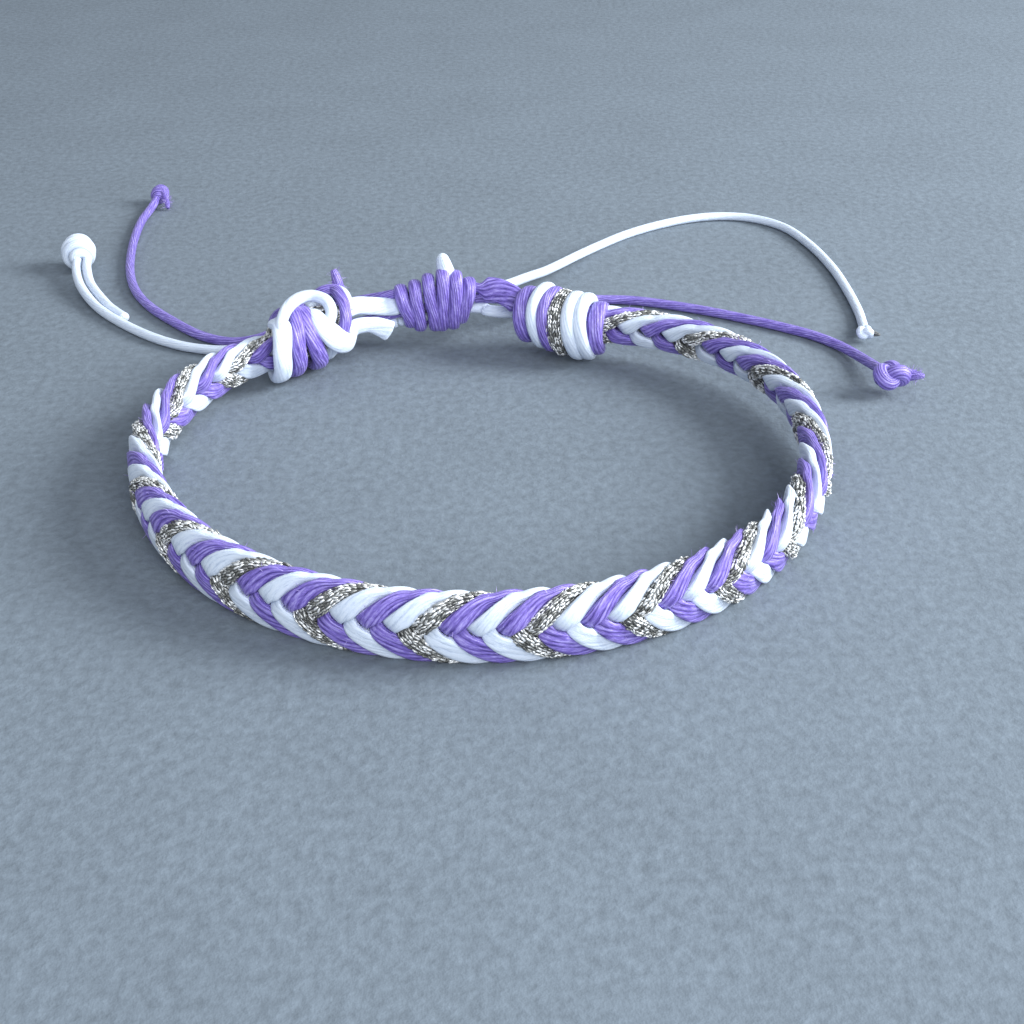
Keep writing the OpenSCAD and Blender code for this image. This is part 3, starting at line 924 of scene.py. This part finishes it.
# Left knot. Each strand: kind, name, half width and places. Silver thread shows between them.
LEFT_THIN = 0.7
LEFT_TURNS = [
    ("white", "first_turn", 1.2, [
        (-4.9, 10, 3.0), (-5.2, 36, 3.9), (-5.9, 60, 4.0), (-6.4, 84, 4.0), (-6.3, 111, 4.0),
        (-5.9, 140, 4.0), (-5.0, 175, 3.8), (-4.0, 215, 3.0), (-3.2, 255, 2.6), (-2.8, 295, 2.5),
        (-2.8, 330, 2.4), (-3.0, 355, 2.0),
    ]),
    ("purple", "second_turn", 0.95, [
        (-1.6, -15, 3.0), (-2.0, 12, 3.7), (-3.4, 50, 3.9), (-4.0, 76, 3.9), (-3.8, 112, 3.9),
        (-3.4, 150, 3.9), (-3.0, 190, 3.9), (-2.6, 235, 3.9), (-2.3, 280, 3.8), (-2.0, 320, 3.4),
        (-1.8, 350, 2.6),
    ]),
    ("purple", "third_turn", 1.05, [
        (-1.0, -10, 3.0), (-1.4, 20, 3.7), (-1.9, 58, 3.9), (-1.6, 88, 3.9), (-0.5, 129, 3.9),
        (0.1, 165, 3.9), (0.6, 205, 3.9), (0.6, 250, 3.9), (0.4, 295, 3.7), (0.2, 330, 3.0),
    ]),
    ("white", "arc", 0.72, [
        (-5.6, 60, 3.2), (-5.4, 36, 4.4), (-3.5, 14, 4.7), (-1.0, -2, 4.75), (0.8, 2, 4.75), (1.7, 21, 4.7),
        (1.6, 40, 4.5), (1.0, 54, 4.0), (0.4, 68, 3.1),
    ]),
    ("purple", "right_turn", 0.7, [
        (2.6, -45, 3.0), (3.2, -26, 4.2), (4.6, -10, 4.3), (4.1, 19, 4.3), (3.75, 41, 4.2), (3.0, 67, 4.0),
        (2.2, 95, 3.2),
    ]),
    ("white", "right_turn", 0.7, [
        (5.0, -70, 3.0), (5.3, -30, 3.9), (5.5, -4, 3.7), (5.2, 20, 3.3), (5.0, 40, 2.6),
    ]),
    ("white", "back_turn", 0.95, [
        (1.9, 110, 2.3), (2.0, 145, 2.9), (2.2, 185, 3.7), (2.4, 225, 3.9), (2.3, 270, 3.9), (2.0, 310, 3.5),
        (1.8, 340, 2.6),
    ]),
    ("purple", "back_turn", 0.95, [
        (3.6, 110, 2.2), (3.9, 150, 2.8), (4.1, 200, 3.6), (4.2, 250, 3.8), (4.0, 300, 3.6), (3.8, 330, 2.8),
    ]),
]
knot_core("left_knot_core", "silver", LEFT_KNOT, 5.3, 2.95, ["left_knot_bundle"])
for kind, name, half, places in LEFT_TURNS:
    wound("left_knot_%s_%s" % (kind, name), kind, LEFT_KNOT, in_knot(LEFT_KNOT, places), half, LEFT_THIN,
          ["left_knot_%s_turns" % kind])

# Cut ends of the left knot: a white one that crosses over it, and a purple one that stands up
white_end = np.vstack([
    in_knot(LEFT_KNOT, [
        (-1.0, 20, 3.3), (-0.4, 36, 4.0), (-0.3, 56, 4.4), (0.4, 74, 4.5), (1.7, 92, 4.4), (3.3, 101, 4.1),
    ]),
    [(-16.4, 26.1, 4.7), (-15.3, 26.8, 4.9), (-14.0, 27.3, 4.7), (-12.8, 27.5, 4.2), (-11.7, 27.6, 3.6)],
])
white_end_half = [0.9, 1.0, 1.3, 1.45, 1.4, 1.3, 1.25, 1.05, 0.95, 1.2, 1.45]
wound("left_knot_crossing_end", "white", LEFT_KNOT, white_end, white_end_half, 0.5, ["left_knot_white_end"])
tip_line = smooth_route([
    (-18.2, 29.2, 7.0), (-18.3, 29.7, 8.2), (-18.5, 30.1, 9.5), (-18.9, 30.4, 10.8),
], TIP_GAP)
frayed_tip("left_knot_purple_tip", "purple", tip_line, 0.85, "left_knot_purple_end", 0.45)

# Sliding knot. Each oval turn: place, middle height, half height, half depth, lean and half width
SLIDER_THIN = 0.72
SLIDER_DIVE = 0.5
SLIDER_SQUARENESS = 2.5
SLIDER_TURNS = [
    (-3.75, -0.55, 2.15, 1.4, -0.6, 0.86),
    (-2.3, -0.55, 2.7, 1.5, -0.25, 0.82),
    (-0.5, -0.2, 3.15, 1.5, -0.35, 0.80),
    (0.85, 0.1, 3.5, 1.55, 0.15, 0.84),
    (2.4, 0.0, 3.2, 1.6, 0.25, 0.84),
    (3.75, -0.1, 2.3, 1.45, 0.6, 0.86),
]
for count, (place, height, tall, deep, lean, half) in enumerate(SLIDER_TURNS):
    reach = oval_reach(np.radians(TURN_PLACES), tall, deep, SLIDER_SQUARENESS)
    points = in_knot(SLIDING_KNOT, one_turn(place, reach, lean, 0.0, SLIDER_DIVE)) + np.array([0, 0, height])
    wound("sliding_knot_turn_%d" % count, "purple", SLIDING_KNOT, points, half, SLIDER_THIN, ["sliding_knot"])


# Pull cords. Two of them lie as flat bands until they enter the sliding knot.
NARROWING = 1.2


def pull_cord(name, kind, points, half, thin, narrow_from, node):
    """A pull cord whose flat side faces the viewer. It narrows where it enters the sliding knot."""
    line = smooth_route(points, 0.2)
    inside = smooth((narrow_from - np.abs(line[:, 0] - SLIDER[0])) / NARROWING)
    wide = half + (thin - half) * inside
    out = np.broadcast_to(PICTURE_NEAR, line.shape)
    strand_piece(name, kind, at_loop(line), at_loop(strap_rings(line, out, wide, thin)), [node])


pull_cord("left_white_pull", "white", [
    (-17.6, 28.0, 6.4), (-16.2, 29.0, 6.55), (-14.4, 29.8, 6.2), (-12.6, 30.5, 5.8), (-11.0, 31.1, 5.7),
    (-8.5, 31.7, 6.1), in_slider(SLIDER_RIGHT, 2),
], half=1.15, thin=0.58, narrow_from=5.0, node="left_white_pull_cord")
pull_cord("left_purple_pull", "purple", [
    (-17.2, 28.6, 4.2), (-16.2, 29.2, 4.2), (-14.6, 30.1, 4.2), (-12.8, 30.9, 4.3), in_slider(SLIDER_LEFT, 3),
    in_slider(SLIDER_RIGHT, 3),
], half=0.62, thin=0.62, narrow_from=5.0, node="left_purple_pull_cord")
pull_cord("right_purple_pull", "purple", [
    (4.4, 29.4, 6.4), (3.3, 30.2, 7.2), (1.5, 31.2, 7.7), (-0.3, 31.7, 7.7), (-1.8, 32.1, 7.8),
    (-4.0, 32.2, 7.6), (-8.0, 31.8, 7.0),
], half=1.55, thin=0.62, narrow_from=6.7, node="right_purple_pull_cord")
pull_cord("right_white_pull", "white", [
    (4.4, 30.2, 5.2), (3.4, 30.9, 4.9), (1.8, 31.6, 4.6), (0.2, 32.1, 4.6), in_slider(SLIDER_RIGHT, 4),
    in_slider(SLIDER_LEFT, 4),
], half=0.75, thin=0.55, narrow_from=5.6, node="right_white_pull_cord")

# A white end, melted where it was cut, stands on the sliding knot
melted_line = smooth_route([
    (-5.0, 32.7, 8.6), (-5.1, 32.75, 9.8), (-5.35, 32.8, 11.0), (-5.5, 32.85, 12.0),
], 0.12)
melted_share = np.linspace(0, 1, len(melted_line))
melted_radii = np.interp(
    melted_share, [0, 0.2, 0.45, 0.7, 0.85, 0.95, 1], [1.3, 1.25, 1.05, 0.9, 0.75, 0.5, 0.15],
)
melted_rings = round_rings(at_loop(melted_line), melted_radii, 20)
cord_piece("sliding_knot_melted_end", "white", melted_rings, melted_line, ["sliding_knot_white_end"])

# Loose fibres on the purple strands
for node, rings in purple_rings.items():
    fuzz("loose_fibres_" + node, rings, 700, 0.9, [node], seed=len(node) + int(node[-1]))

# Floor
FLOOR_HALF = 0.9
floor_mesh = bpy.data.meshes.new("floor")
floor_corners = [(x * FLOOR_HALF, y * FLOOR_HALF, 0) for x, y in ((-1, -1), (1, -1), (1, 1), (-1, 1))]
floor_mesh.from_pydata(floor_corners, [], [(0, 1, 2, 3)])
floor_mesh.materials.append(floor_finish())
floor = add_object("floor", floor_mesh)


# Light
def soft_light(name, place, size, power, colour):
    """A square lamp at a place in mm, turned to the middle of the loop."""
    lamp_data = bpy.data.lights.new(name, "AREA")
    lamp_data.size = size * MM
    lamp_data.energy = power
    lamp_data.color = colour
    lamp = add_object(name, lamp_data)
    lamp.location = Vector(place) * MM
    lamp.rotation_euler = (-Vector(place)).to_track_quat("-Z", "Y").to_euler()


soft_light("window", (640, 40, 345), size=350, power=10.2, colour=(0.92, 0.97, 1.0))
soft_light("front_fill", (200, -520, 330), size=450, power=3.7, colour=(0.92, 0.96, 1.0))

world = bpy.data.worlds.new("world")
world.use_nodes = True
sky = world.node_tree.nodes["Background"].inputs
sky["Color"].default_value = (0.82, 0.89, 0.97, 1)
sky["Strength"].default_value = 0.59
bpy.context.scene.world = world
bpy.context.scene.view_settings.view_transform = "Standard"
